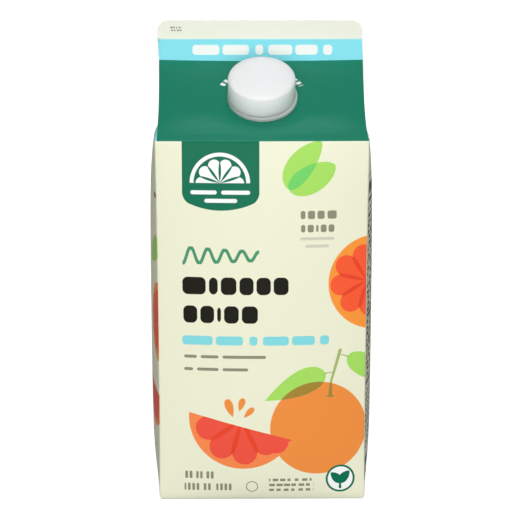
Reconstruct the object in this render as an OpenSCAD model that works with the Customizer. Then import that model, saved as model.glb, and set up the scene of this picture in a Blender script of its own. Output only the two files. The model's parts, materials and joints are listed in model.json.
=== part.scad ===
// Full gable-top juice carton with a screw cap on its front roof panel.
// The origin is at the middle of the base, +Z is up and the front faces -Y.

/* [Body] */
// Width of each side of the square body, from crease to crease
body_w = 95.25; // [70:0.25:115]
// Height from the table to the roof creases
body_h = 167.7; // [110:0.1:230]
// Thickness of one layer of board
board_t = 0.6; // [0.4:0.05:0.8]

/* [Swell of the full walls] */
// How far the middle of a wall stands out from its creases
swell = 5.4; // [2:0.1:8]
// How far the side walls still stand out at the roof creases
crease_swell = 2; // [0:0.1:2]
// Height over which the swell builds up above the base
base_run = 10; // [6:0.5:25]
// Height over which the swell dies away below the roof
roof_run = 17; // [8:0.5:30]

/* [Roof] */
// Rise of the roof panels from the creases to the fin
roof_rise = 32; // [24:0.5:45]
// Layers of board in the overhanging edge of a roof panel
roof_layers = 2; // [2:1:3]

/* [Fin] */
// Height of the lower part of the fin, which holds the folded gable ends
fin_low_h = 9.9; // [6:0.1:16]
// Height of the upper part of the fin
fin_top_h = 8.2; // [6:0.1:14]
// Layers of board in the lower part of the fin
fin_low_layers = 4; // [4:1:6]
// Layers of board in the upper part of the fin
fin_top_layers = 2; // [1:1:3]
// Radius of the fin's top corners
fin_corner_r = 5; // [1:0.5:6]

/* [Base] */
// Width of the rim left round the base
rim_w = 2.5; // [1.5:0.5:8]
// Depth of the outer base flap, from the back rim forwards
base_flap_d = 55; // [35:1:65]

/* [Cap] */
// Diameter of the cap's top
cap_d = 30.3; // [20:0.1:34]
// Height of the cap above its ring
cap_h = 10.9; // [7:0.1:16]
// Radius of the cap's top edge
cap_edge_r = 1.5; // [0.5:0.1:3]
// How much wider the cap's open end is than its top
cap_draft = 0.5; // [0:0.1:1]
// How much wider the tamper ring is than the cap's top
ring_lip = 1.6; // [0.8:0.1:4]
// Height of the tamper ring
ring_h = 2.2; // [1.2:0.1:4]
// How far the tamper ring sits to the right of the cap's middle
ring_shift = 0.4; // [0:0.1:0.5]
// How far the cap sits above the middle of the roof panel
cap_up = 0.2; // [-1:0.1:1]

/* [Hidden] */

// Facets along each wall, and rings of facets from the base to the creases
WALL_STEPS = 12;
RINGS = 16;
// Angles of the points along a rounded edge
EDGE_STEPS = 8;
quarter_turn = [for (s = [0:EDGE_STEPS]) 90 * s / EDGE_STEPS];

half_w = body_w / 2;
fin_half = fin_low_layers * board_t / 2;
// A roof panel runs from its crease to the face of the fin
roof_run_in = half_w - fin_half;
roof_angle = atan2(roof_rise, roof_run_in);
roof_len = norm([roof_run_in, roof_rise]);
edge_t = roof_layers * board_t;
ridge_z = body_h + roof_rise;
// Height at which the two outer roof planes would meet
peak_z = body_h + half_w * tan(roof_angle);
fin_step_z = ridge_z + fin_low_h;
// The fin's upper part starts this far inside its lower part
fin_lap = 1;
// The gable ends' folds end inside the thickness of the roof panels
gable_peak_z = peak_z - edge_t / cos(roof_angle) / 2;

// Swell of a wall at height z that still has the swell top at the creases
function wall_swell(z, top) = swell * (1 - exp(-z / base_run))
    * (1 - (1 - top / swell) * exp((z - body_h) / roof_run));

// Board doesn't stretch, so a swollen wall draws its corners in
function corner_at(z) = half_w - 4 / 3 * wall_swell(z, 0) ^ 2 / body_w;

// Height of ring j, with the rings closer together near both ends
function ring_z(j) = body_h * (1 - cos(180 * j / RINGS)) / 2;

// Point i of wall k at height z, with the walls in order front, right, back, left
function wall_point(k, i, z) =
    let (
        across = 2 * i / WALL_STEPS - 1,
        out = wall_swell(z, k % 2 == 0 ? 0 : crease_swell) * (1 - across ^ 2),
        x = across * corner_at(z),
        y = -corner_at(z) - out
    )
    [x * cos(90 * k) - y * sin(90 * k), x * sin(90 * k) + y * cos(90 * k), z];

// The swollen body, closed above its creases by four planes that meet under the ridge
module filled_body() {
    around = 4 * WALL_STEPS;
    points = concat(
        [for (j = [0:RINGS], k = [0:3], i = [0:WALL_STEPS - 1]) wall_point(k, i, ring_z(j))],
        [[0, 0, 0], [0, 0, gable_peak_z]]
    );
    base_middle = (RINGS + 1) * around;
    peak = base_middle + 1;
    top_ring = RINGS * around;
    faces = [
        for (i = [0:around - 1]) let (next = (i + 1) % around) each [
            [base_middle, i, next],
            [peak, top_ring + next, top_ring + i],
            for (j = [0:RINGS - 1]) let (low = j * around, high = low + around) each [
                [low + i, high + i, high + next],
                [low + i, high + next, low + next]
            ]
        ]
    ];
    polyhedron(points, faces);
}

// Both roof panels with the lower part of the fin, seen from the side and drawn across the body
module roof_panels() {
    inner = half_w - edge_t / sin(roof_angle);
    rotate([90, 0, 90])
        linear_extrude(body_w, center = true)
            polygon([
                [-half_w, body_h],
                [-inner, body_h],
                [0, peak_z - edge_t / cos(roof_angle)],
                [inner, body_h],
                [half_w, body_h],
                [fin_half, ridge_z],
                [fin_half, fin_step_z],
                [-fin_half, fin_step_z],
                [-fin_half, ridge_z]
            ]);
}

// The fin's thinner upper part, with rounded top corners
module fin_top() {
    corner_x = half_w - fin_corner_r;
    top_z = fin_step_z + fin_top_h;
    rotate([90, 0, 0])
        linear_extrude(fin_top_layers * board_t, center = true)
            polygon([
                [-half_w, fin_step_z - fin_lap],
                [half_w, fin_step_z - fin_lap],
                for (s = quarter_turn)
                    [corner_x + fin_corner_r * cos(s), top_z + fin_corner_r * (sin(s) - 1)],
                for (s = quarter_turn)
                    [-corner_x - fin_corner_r * sin(s), top_z + fin_corner_r * (cos(s) - 1)]
            ]);
}

// The step of one board from the outer base flap up to the flap tucked under it
module base_step() {
    inner_w = body_w - 2 * rim_w;
    depth = inner_w - base_flap_d;
    translate([-inner_w / 2, -inner_w / 2, -board_t])
        cube([inner_w, depth, 2 * board_t]);
}

module carton() {
    color([0.93, 0.93, 0.83])
        difference() {
            union() {
                filled_body();
                roof_panels();
                fin_top();
            }
            base_step();
        }
}

// Puts children at the cap's place on the front roof panel, with their own Z square to it
module on_front_roof() {
    translate([0, -half_w, body_h])
        rotate([roof_angle, 0, 0])
            translate([0, roof_len / 2 + cap_up, 0])
                children();
}

module cap() {
    top_r = cap_d / 2;
    color([0.92, 0.94, 0.93])
        on_front_roof()
            translate([0, 0, ring_h])
                rotate_extrude($fn = 96)
                    polygon([
                        [0, 0],
                        [top_r + cap_draft / 2, 0],
                        for (s = quarter_turn)
                            [top_r + cap_edge_r * (cos(s) - 1), cap_h + cap_edge_r * (sin(s) - 1)],
                        [0, cap_h]
                    ]);
}

module tamper_ring() {
    color([0.88, 0.90, 0.89])
        on_front_roof()
            translate([ring_shift, 0, 0])
                cylinder(h = ring_h, d = cap_d + ring_lip, $fn = 96);
}

carton();
cap();
tamper_ring();
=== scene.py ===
"""A full gable-top juice carton with a screw cap, standing on a pale floor in soft studio light."""

import json
import math
from contextlib import contextmanager

import bmesh
import bpy
from bpy.props import FloatProperty, FloatVectorProperty, PointerProperty
from mathutils import Matrix, Vector

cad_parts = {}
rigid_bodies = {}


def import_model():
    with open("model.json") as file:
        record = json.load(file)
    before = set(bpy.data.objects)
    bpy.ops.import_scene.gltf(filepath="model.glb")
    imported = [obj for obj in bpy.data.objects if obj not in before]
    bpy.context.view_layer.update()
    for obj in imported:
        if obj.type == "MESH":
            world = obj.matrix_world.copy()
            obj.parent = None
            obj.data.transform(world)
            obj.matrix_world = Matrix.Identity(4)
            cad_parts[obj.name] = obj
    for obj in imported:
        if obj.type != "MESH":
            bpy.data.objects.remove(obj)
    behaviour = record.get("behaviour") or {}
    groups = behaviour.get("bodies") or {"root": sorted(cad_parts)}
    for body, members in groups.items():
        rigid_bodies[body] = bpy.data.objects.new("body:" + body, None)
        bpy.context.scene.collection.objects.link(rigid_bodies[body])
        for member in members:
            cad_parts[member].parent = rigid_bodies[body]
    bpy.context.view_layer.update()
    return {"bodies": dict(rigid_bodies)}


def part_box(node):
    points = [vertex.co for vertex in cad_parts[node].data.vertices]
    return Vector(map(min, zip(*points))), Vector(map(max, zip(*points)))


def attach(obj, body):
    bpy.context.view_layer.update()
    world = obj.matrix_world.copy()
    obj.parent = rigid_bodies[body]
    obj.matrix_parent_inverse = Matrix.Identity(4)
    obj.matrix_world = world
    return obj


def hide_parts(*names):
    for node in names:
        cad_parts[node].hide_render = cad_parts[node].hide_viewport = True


bl_info = {
    "name": "Gable-top carton",
    "version": (1, 0, 0),
    "blender": (4, 5, 0),
    "location": "View3D > Sidebar > Carton",
    "description": "Builds a printed gable-top juice carton with a screw cap",
    "category": "Add Mesh",
}

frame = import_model()

MM = 0.001
CARTON_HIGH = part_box("carton")[1]
BODY = next(iter(frame["bodies"]))
# Points closer than this are the same point
NEAR = 0.02 * MM
# Softness of a printed edge, in millimetres
INK_EDGE = 0.14

# A point swells with a wall by this power of how far out towards that wall it lies
WALL_POWER = 8
# Heights over which the base turns in, the fin shifts aside and the ridge's sag dies away
BASE_REACH = 3 * MM
FIN_REACH = 2 * MM
SAG_REACH = 6 * MM
# The roof's waist is narrowest where the rise to this power is a half
WAIST_POWER = 0.58
# How far up a roof panel from its crease the swell steps up, and over what length
PANEL_STEP_UP = 10.5 * MM
PANEL_STEP_RUN = 2.6 * MM


def srgb(red, green, blue):
    """A colour given in bytes as Blender's linear values."""
    return tuple(
        c / 255 / 12.92 if c <= 10.31475 else ((c / 255 + 0.055) / 1.055) ** 2.4
        for c in (red, green, blue)
    )


def length(name, default, description):
    return FloatProperty(
        name=name, description=description, default=default, unit="LENGTH", precision=5
    )


def colour(name, default, description):
    return FloatVectorProperty(
        name=name, description=description, default=srgb(*default), size=3,
        subtype="COLOR", min=0, max=1,
    )


class BoardSizes(bpy.types.PropertyGroup):
    """Sizes of the folded board."""

    width: length("Width", 95.25 * MM, "Width of each wall from crease to crease")
    roof_rise: length("Roof rise", 32 * MM, "Height from the roof creases to the fin")
    fin_low: length("Lower fin", 9.9 * MM, "Height of the fin's thicker part")
    fin_top: length("Upper fin", 8.2 * MM, "Height of the fin's thinner part")
    fin_corner: length("Fin corner", 5 * MM, "Radius of the fin's top corners")
    layer: length("Board", 0.6 * MM, "Thickness of one layer of board")
    fold: length("Fold radius", 0.7 * MM, "Radius of a fold in the board")
    cut: length("Cut edge", 0.12 * MM, "Rounding of a cut edge")
    fin_shift: length("Fin shift", 0.5 * MM, "How far the fin is sealed off to the left")
    offset_ply: length("Offset ply", 0.9 * MM, "How far the fin's outer layer stops short of its end")
    rim: length("Rim", 2.5 * MM, "Width of the rim round the base")
    base_flap: length("Base flap", 55 * MM, "Depth of the outer base flap")
    swell: length("Swell", 5.4 * MM, "How far the middle of a wall stands out")
    side_crease: length("Side crease", 2 * MM, "How far a side crease stands out")
    front_crease: length("Front crease", 0.7 * MM, "How far a front crease bows out")
    base_run: length("Base run", 10 * MM, "Height over which the swell builds up")
    roof_run: length("Roof run", 17 * MM, "Height over which the swell dies away")
    roof_swell: length("Roof swell", 2.4 * MM, "How far a roof panel stands out")
    roof_waist: length("Roof waist", 1.0 * MM, "How far the ends of a roof panel are drawn in")
    base_round: length("Base rounding", 0.9 * MM, "How far the foot of a wall turns in")
    ridge_sag: length("Ridge sag", 0.6 * MM, "How far the foot of the fin sags")
    mesh_step: length("Mesh step", 4 * MM, "Spacing of the cuts across the board")


class CapSizes(bpy.types.PropertyGroup):
    """Sizes of the screw cap and its ring."""

    diameter: length("Diameter", 30.3 * MM, "Diameter of the cap's top")
    height: length("Height", 10.9 * MM, "Height of the cap above its ring")
    edge: length("Top edge", 1.5 * MM, "Radius of the cap's top edge")
    draft: length("Draft", 0.5 * MM, "How much wider the open end is")
    ring_lip: length("Ring lip", 1.6 * MM, "How much wider the ring is than the cap")
    ring_height: length("Ring height", 2.2 * MM, "Height of the tamper ring")
    ring_shift: length("Ring shift", 0.4 * MM, "Play of the ring to the right")
    up: length("Up the roof", 0.2 * MM, "How far the cap sits above the panel's middle")


class InkColours(bpy.types.PropertyGroup):
    """Colours of the board, the inks and the plastic."""

    cream: colour("Cream", (236, 237, 210), "Ground of the walls")
    fin_cream: colour("Fin cream", (236, 238, 223), "Top of the fin")
    green: colour("Green", (9, 125, 97), "Roof")
    deep: colour("Deep green", (10, 112, 82), "Tab and badge")
    cyan: colour("Pale blue", (136, 228, 241), "Band on the fin and the gable ends")
    white: colour("White", (246, 249, 246), "Small marks on the green and blue")
    leaf: colour("Leaf", (166, 221, 98), "Leaves")
    leaf_cross: colour("Crossed leaves", (113, 209, 103), "Where two leaves cross")
    leaf_over: colour("Leaf on orange", (162, 134, 55), "Where a leaf crosses the fruit")
    twig: colour("Twig", (164, 184, 104), "Stem and twigs")
    orange: colour("Orange", (240, 144, 66), "Whole fruit and drops")
    rind: colour("Rind", (249, 152, 60), "Rind of a slice")
    peel: colour("Peel", (247, 138, 78), "Rind of a wedge")
    flesh: colour("Flesh", (247, 92, 54), "Flesh of the slice")
    wedge: colour("Wedge", (239, 84, 66), "Flesh of the wedge")
    seam: colour("Seam", (234, 70, 45), "Lines between the segments")
    dark: colour("Dark", (26, 25, 16), "Heavy bars")
    script: colour("Script green", (72, 148, 108), "Wavy line")
    aqua: colour("Aqua", (132, 218, 224), "Row of pale blue bars")
    grey: colour("Grey", (142, 140, 118), "Small bars")
    pale: colour("Pale grey", (206, 209, 188), "Faint bars")
    brown: colour("Brown", (120, 95, 60), "Small marks on the left wall")
    # A paler line painted along the front crease, as a painted highlight on the fold
    crease_highlight: colour("Crease highlight", (246, 249, 234), "Painted highlight along the crease")
    raw: colour("Raw board", (233, 228, 208), "Cut edges of the board")
    cap: colour("Cap", (242, 253, 253), "Cap")
    ring: colour("Ring", (244, 253, 252), "Tamper ring")


class StageSettings(bpy.types.PropertyGroup):
    """Camera and light."""

    lens: FloatProperty(name="Lens", description="Focal length", default=108.3, min=20)
    distance: length("Distance", 754.8 * MM, "Camera to the middle of the carton")
    aim: length("Aim height", 103.3 * MM, "Height that the camera aims at")
    elevation: FloatProperty(
        name="Elevation", description="Camera above the horizon",
        default=math.radians(12.02), subtype="ANGLE",
    )
    azimuth: FloatProperty(
        name="Azimuth", description="Camera round to the right",
        default=math.radians(-0.63), subtype="ANGLE",
    )
    key: FloatProperty(
        name="Key", description="Power of the front light", default=16.2, min=0, unit="POWER",
    )
    top: FloatProperty(
        name="Top", description="Power of the top light", default=3.4, min=0, unit="POWER",
    )
    back: FloatProperty(
        name="Back", description="Power of the back light", default=12.0, min=0, unit="POWER",
    )
    fill: FloatProperty(
        name="Fill", description="Power of the low front light", default=2.2, min=0, unit="POWER",
    )
    sky: FloatProperty(name="Sky", description="Strength of the even light", default=0.30, min=0)
    glow: FloatProperty(name="Glow", description="Own light of the floor", default=0.9, min=0)


# ---------------------------------------------------------------- modelling


def begin_piece():
    """Leaves nothing selected, so that an operator acts on the new piece only."""
    if bpy.context.object and bpy.context.object.mode != "OBJECT":
        bpy.ops.object.mode_set(mode="OBJECT")
    bpy.ops.object.select_all(action="DESELECT")


@contextmanager
def editing(piece):
    bpy.context.view_layer.objects.active = piece
    piece.select_set(True)
    bpy.ops.object.mode_set(mode="EDIT")
    yield
    bpy.ops.object.mode_set(mode="OBJECT")


def pick(piece, kind, test):
    """Selects the VERT, EDGE or FACE items that pass the test, and only those."""
    bpy.ops.mesh.select_mode(type=kind)
    bpy.ops.mesh.select_all(action="DESELECT")
    mesh = bmesh.from_edit_mesh(piece.data)
    items = {"VERT": mesh.verts, "EDGE": mesh.edges, "FACE": mesh.faces}[kind]
    picked = [item for item in items if test(item)]
    for item in picked:
        item.select_set(True)
    mesh.select_flush_mode()
    bmesh.update_edit_mesh(piece.data)
    return len(picked)


def ends(edge):
    return [v.co for v in edge.verts]


def middle(item):
    if isinstance(item, bmesh.types.BMFace):
        return item.calc_center_median()
    return sum(ends(item), Vector()) / 2


def cut_selected(point, normal):
    bpy.ops.mesh.bisect(plane_co=point, plane_no=normal, use_fill=False)


def cut_all(point, normal):
    bpy.ops.mesh.select_all(action="SELECT")
    cut_selected(point, normal)


def finish_shading(piece, degrees=35):
    """Smooths all but the sharp edges, with each wide face keeping its own direction."""
    begin_piece()
    bpy.context.view_layer.objects.active = piece
    piece.select_set(True)
    bpy.ops.object.shade_smooth_by_angle(angle=math.radians(degrees))
    weighted = piece.modifiers.new("Even normals", "WEIGHTED_NORMAL")
    weighted.keep_sharp = True
    bpy.ops.object.modifier_apply(modifier=weighted.name)


class Gable:
    """Places on the folded carton, worked out from its sizes."""

    def __init__(self, sizes):
        self.half = sizes.width / 2
        self.top = CARTON_HIGH.z
        self.step = self.top - sizes.fin_top
        self.ridge = self.step - sizes.fin_low
        self.crease = self.ridge - sizes.roof_rise
        self.fin_half = 2 * sizes.layer
        self.edge = 2 * sizes.layer
        run_in = self.half - self.fin_half
        self.angle = math.atan2(sizes.roof_rise, run_in)
        self.slope = math.hypot(sizes.roof_rise, run_in)
        # The gable ends' folds start inside the creases and meet under the ridge
        self.inner = self.half - self.edge / math.sin(self.angle)
        self.peak = (
            self.crease + self.half * math.tan(self.angle) - self.edge / math.cos(self.angle)
        )

    def out_of_roof(self, side):
        """Direction straight out of the front (-1) or back (1) roof panel."""
        return Vector((0, side * math.sin(self.angle), math.cos(self.angle)))

    def cap_seat(self, caps):
        """The frame of the cap's seat, with Z straight out of the front roof panel."""
        up_roof = Vector((0, math.cos(self.angle), math.sin(self.angle)))
        seat = Vector((0, -self.half, self.crease)) + up_roof * (self.slope / 2 + caps.up)
        return Matrix.Translation(seat) @ Matrix.Rotation(self.angle, 4, "X")


def fold_cage(sizes, gable):
    """The flat-walled carton: walls, roof, fin and the pockets of the gable ends."""
    begin_piece()
    bpy.ops.mesh.primitive_cube_add(
        size=1, location=(0, 0, gable.crease / 2), scale=(sizes.width, sizes.width, gable.crease)
    )
    piece = bpy.context.object
    bpy.ops.object.transform_apply(location=True, rotation=True, scale=True)
    with editing(piece):
        pick(piece, "FACE", lambda f: middle(f).z > gable.crease - NEAR)
        for rise, narrowing in (
            (sizes.roof_rise, gable.fin_half / gable.half),
            (sizes.fin_low, 1),
            (0, 0.5),
            (sizes.fin_top, 1),
        ):
            bpy.ops.mesh.extrude_region_move(TRANSFORM_OT_translate={"value": (0, 0, rise)})
            bpy.ops.transform.resize(value=(1, narrowing, 1), center_override=(0, 0, gable.ridge))
        round_fin_corners(piece, sizes, gable)
        offset_fin_ply(piece, sizes, gable)
        fold_gable_ends(piece, gable)
        fold_base(piece, sizes, gable)
    return piece


def round_fin_corners(piece, sizes, gable):
    pick(piece, "EDGE", lambda e: abs(abs(middle(e).x) - gable.half) < NEAR
         and all(c.z > gable.top - NEAR for c in ends(e)))
    bpy.ops.mesh.bevel(offset=sizes.fin_corner, segments=8, affect="EDGES", clamp_overlap=False)


def offset_fin_ply(piece, sizes, gable):
    """Stops the outer layer of the lower fin short at one end, on both sides of the carton."""
    def on_side(face, side):
        at = middle(face)
        return (gable.ridge < at.z < gable.step and abs(face.normal.y) > 0.9 and at.y * side > 0)

    for side in (-1, 1):
        at = side * (gable.half - sizes.offset_ply)
        pick(piece, "FACE", lambda f: on_side(f, side))
        cut_selected((at, 0, 0), (1, 0, 0))
        pick(piece, "FACE", lambda f: on_side(f, side) and middle(f).x * side > abs(at))
        bpy.ops.mesh.extrude_region_move(TRANSFORM_OT_translate={"value": (0, -side * sizes.layer, 0)})


def fold_gable_ends(piece, gable):
    """Turns each gable end in under the roof, down to its fold inside the side crease."""
    def in_gable(face):
        at = middle(face)
        return abs(abs(at.x) - gable.half) < NEAR and gable.crease < at.z < gable.ridge

    def under_both(face):
        return in_gable(face) and all(
            (v.co - Vector((0, side * gable.inner, gable.crease))).dot(gable.out_of_roof(side)) < NEAR
            for v in face.verts for side in (-1, 1)
        )

    for side in (-1, 1):
        pick(piece, "FACE", in_gable)
        cut_selected((0, side * gable.inner, gable.crease), gable.out_of_roof(side))
    pick(piece, "FACE", under_both)
    bpy.ops.mesh.extrude_region_move(TRANSFORM_OT_translate={"value": (0, 0, 0)})
    # The fold's tip goes in under the ridge, and its two other corners stay where they were
    tips = {
        v.index for v in bmesh.from_edit_mesh(piece.data).verts
        if v.select and v.co.z > gable.peak - NEAR
    }
    for side in (-1, 1):
        pick(piece, "VERT", lambda v: v.index in tips and v.co.x * side > gable.half / 2)
        bpy.ops.transform.translate(value=(-side * (gable.half - gable.edge / 4), 0, 0))
    bpy.ops.mesh.select_all(action="SELECT")
    bpy.ops.mesh.remove_doubles(threshold=NEAR)
    bpy.ops.mesh.normals_make_consistent(inside=False)


def fold_base(piece, sizes, gable):
    """Steps the base up by one board in front of the outer flap."""
    inside = gable.half - sizes.rim
    seam = inside - sizes.base_flap

    def in_base(face):
        return middle(face).z < NEAR

    for point, normal in (
        ((inside, 0, 0), (1, 0, 0)),
        ((-inside, 0, 0), (1, 0, 0)),
        ((0, -inside, 0), (0, 1, 0)),
        ((0, seam, 0), (0, 1, 0)),
    ):
        pick(piece, "FACE", in_base)
        cut_selected(point, normal)
    pick(piece, "FACE", lambda f: in_base(f) and abs(middle(f).x) < inside / 2
         and -inside < middle(f).y < seam)
    bpy.ops.mesh.extrude_region_move(TRANSFORM_OT_translate={"value": (0, 0, sizes.layer)})


MATERIALS = ["front_print", "left_print", "right_print", "roof_ink", "fin_print", "gable_ink",
             "raw_board"]


def panel_of(face, gable):
    """Index in MATERIALS of the finish that a flat panel of the cage gets."""
    at, out = middle(face), face.normal
    if at.z < NEAR or out.z < -0.9:
        name = "raw_board"
    elif at.z < gable.crease - NEAR:
        name = "front_print" if abs(out.y) > abs(out.x) else ("left_print" if out.x < 0 else "right_print")
    elif at.z > gable.ridge:
        name = "fin_print" if abs(out.y) > 0.9 else "raw_board"
    elif abs(out.x) > 0.99:
        name = "raw_board"
    elif abs(out.x) > NEAR or out.z < 0:
        name = "gable_ink"
    else:
        name = "roof_ink"
    return MATERIALS.index(name)


def print_panels(piece, gable):
    for name in MATERIALS:
        piece.data.materials.append(bpy.data.materials[name])
    with editing(piece):
        for index in range(len(MATERIALS)):
            if pick(piece, "FACE", lambda f: panel_of(f, gable) == index):
                piece.active_material_index = index
                bpy.ops.object.material_slot_assign()


def round_folds(piece, sizes, gable):
    """Rounds the folds between panels, and takes the sharpness off cut edges."""
    def at_corner(co):
        return abs(abs(co.x) - gable.half) < NEAR and abs(abs(co.y) - gable.half) < NEAR

    def fold(edge):
        a, b = ends(edge)
        upright = at_corner(a) and at_corner(b) and abs(a.z - b.z) > gable.crease / 2
        level = abs(a.z - b.z) < NEAR and (abs(a.z) < NEAR or abs(a.z - gable.crease) < NEAR)
        outer = all(max(abs(c.x), abs(c.y)) > gable.half - NEAR for c in (a, b))
        across = middle(edge)
        outer = outer and max(abs(across.x), abs(across.y)) > gable.half - NEAR
        return upright or (level and outer and len(edge.link_faces) == 2
                           and edge.calc_face_angle(0) > math.radians(20))

    with editing(piece):
        pick(piece, "EDGE", fold)
        bpy.ops.mesh.bevel(offset=sizes.fold, segments=4, affect="EDGES", material=-1)
        pick(piece, "EDGE", lambda e: middle(e).z > gable.crease + sizes.fold * 2
             and len(e.link_faces) == 2 and e.calc_face_angle(0) > math.radians(60))
        bpy.ops.mesh.bevel(offset=sizes.cut, segments=2, affect="EDGES", material=-1)


def cut_evenly(piece, sizes, gable):
    """Cuts the flat panels up, so that they can swell."""
    steps = round(sizes.width / sizes.mesh_step)
    across = [gable.half * (2 * i / steps - 1) for i in range(1, steps)]
    levels = round(gable.crease / sizes.mesh_step)
    up = [gable.crease * (1 - math.cos(math.pi * i / levels)) / 2 for i in range(1, levels)]
    roof_levels = round(gable.slope / sizes.mesh_step)
    up += [gable.crease + sizes.roof_rise * i / roof_levels for i in range(1, roof_levels)]
    with editing(piece):
        for at in across:
            cut_all((at, 0, 0), (1, 0, 0))
            cut_all((0, at, 0), (0, 1, 0))
        for at in up:
            cut_all((0, 0, at), (0, 0, 1))


def wall_swell(z, top, sizes, gable):
    """How far the middle of a wall stands out at height z, if it still has top at the crease."""
    rising = 1 - math.exp(-z / sizes.base_run)
    dying = 1 - (1 - top / sizes.swell) * math.exp((z - gable.crease) / sizes.roof_run)
    return sizes.swell * rising * dying


def near_cap(x, up_roof, gable, caps):
    """1 under the cap's flange and 0 well clear of it."""
    away = math.hypot(x, up_roof - gable.slope / 2 - caps.up)
    flat = (caps.diameter + caps.ring_lip) / 2 + 0.7 * MM
    t = min(1, max(0, (away - flat) / (7 * MM)))
    return 1 - t * t * (3 - 2 * t)


def swollen(co, sizes, gable, caps):
    """Where a point of the flat carton goes when the carton is full."""
    x, y, z = co
    u, v = min(1, abs(x) / gable.half), min(1, abs(y) / gable.half)
    if z <= gable.crease + NEAR:
        turned_in = 1 - sizes.base_round / gable.half * max(0, 1 - z / BASE_REACH) ** 2
        x, y = x * turned_in, y * turned_in
        drawn_in = 1 - 4 / 3 * wall_swell(z, 0, sizes, gable) ** 2 / sizes.width / gable.half
        out_x = wall_swell(z, sizes.side_crease, sizes, gable) * (1 - v * v) * u ** WALL_POWER
        out_y = wall_swell(z, sizes.front_crease, sizes, gable) * (1 - u * u) * v ** WALL_POWER
        return (x * drawn_in + math.copysign(out_x, x), y * drawn_in + math.copysign(out_y, y), z)
    rise = min(1, (z - gable.crease) / sizes.roof_rise)
    share = (z - gable.crease) / (gable.peak - gable.crease)
    in_gable = share < 1 and abs(abs(x) - gable.half * (1 - share)) < gable.edge / 3 and v < 1 - share
    x *= 1 - sizes.roof_waist / gable.half * math.sin(math.pi * rise ** WAIST_POWER)
    x -= sizes.fin_shift * min(1, max(0, (z - gable.ridge) / FIN_REACH))
    if in_gable:
        t = abs(y) / (gable.half * (1 - share))
        return (x + math.copysign(sizes.side_crease * (1 - t * t) * (1 - share), x), y, z)
    up_roof = (z - gable.crease) / math.sin(gable.angle)
    sag = sizes.ridge_sag * (1 - u * u) * math.exp(-abs(z - gable.ridge) / SAG_REACH)
    place = Vector((x, y, z - sag))
    side = math.copysign(1, y)
    depth = (place - Vector((0, side * gable.half, gable.crease))).dot(gable.out_of_roof(side))
    if z < gable.ridge and abs(depth) < sizes.fold:
        step_up = 1 / (1 + math.exp((PANEL_STEP_UP - up_roof) / PANEL_STEP_RUN))
        bump = step_up * (1 - rise) ** 0.8 * (1 - u ** 6)
        if y < 0:
            bump *= 1 - near_cap(x, up_roof, gable, caps)
        place += gable.out_of_roof(side) * sizes.roof_swell * bump
        place.y += side * sizes.front_crease * (1 - u * u) * (1 - rise) ** 3
    return place


class CARTON_OT_board(bpy.types.Operator):
    """Folds the carton's board, prints it and swells it"""

    bl_idname = "carton.board"
    bl_label = "Board"

    def execute(self, context):
        sizes, caps = context.scene.carton_board, context.scene.carton_cap
        gable = Gable(sizes)
        piece = fold_cage(sizes, gable)
        piece.name = piece.data.name = "board"
        print_panels(piece, gable)
        round_folds(piece, sizes, gable)
        cut_evenly(piece, sizes, gable)
        for vertex in piece.data.vertices:
            vertex.co = swollen(vertex.co, sizes, gable, caps)
        finish_shading(piece)
        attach(piece, BODY)
        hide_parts("carton")
        return {"FINISHED"}


def turned_piece(name, radius, depth, shift=0.0, low=0.0):
    """A round piece standing at the origin, still to be shaped."""
    begin_piece()
    bpy.ops.mesh.primitive_cylinder_add(
        vertices=128, radius=radius, depth=depth, location=(shift, 0, low + depth / 2)
    )
    piece = bpy.context.object
    bpy.ops.object.transform_apply(location=True, rotation=True, scale=True)
    piece.name = piece.data.name = name
    return piece


def round_rim(piece, height, radius, segments):
    """Rounds the round edges at one height."""
    with editing(piece):
        pick(piece, "EDGE", lambda e: all(abs(c.z - height) < NEAR for c in ends(e)))
        bpy.ops.mesh.bevel(offset=radius, segments=segments, affect="EDGES")


def seat_piece(piece, seat, material):
    """Moves a finished round piece from the origin to its seat on the roof."""
    piece.data.transform(seat)
    piece.data.materials.append(bpy.data.materials[material])
    finish_shading(piece)
    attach(piece, BODY)


class CARTON_OT_cap(bpy.types.Operator):
    """Turns the screw cap and its tamper ring"""

    bl_idname = "carton.cap"
    bl_label = "Cap and ring"

    def execute(self, context):
        caps = context.scene.carton_cap
        seat = Gable(context.scene.carton_board).cap_seat(caps)
        base, top = caps.ring_height, caps.ring_height + caps.height
        cap = turned_piece("cap", caps.diameter / 2, caps.height, low=base)
        with editing(cap):
            pick(cap, "VERT", lambda v: v.co.z < base + NEAR)
            wider = 1 + caps.draft / caps.diameter
            bpy.ops.transform.resize(value=(wider, wider, 1), center_override=(0, 0, base))
        round_rim(cap, top, caps.edge, 8)
        round_rim(cap, base, 0.15 * MM, 2)
        seat_piece(cap, seat, "cap_plastic")
        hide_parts("cap")

        ring_radius = (caps.diameter + caps.ring_lip) / 2
        ring = turned_piece("tamper_ring", ring_radius, caps.ring_height, shift=caps.ring_shift)
        round_rim(ring, base, 0.3 * MM, 3)
        round_rim(ring, 0, 0.2 * MM, 2)
        seat_piece(ring, seat, "ring_plastic")
        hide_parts("tamper_ring")
        return {"FINISHED"}


# ---------------------------------------------------------------- finishes


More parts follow.
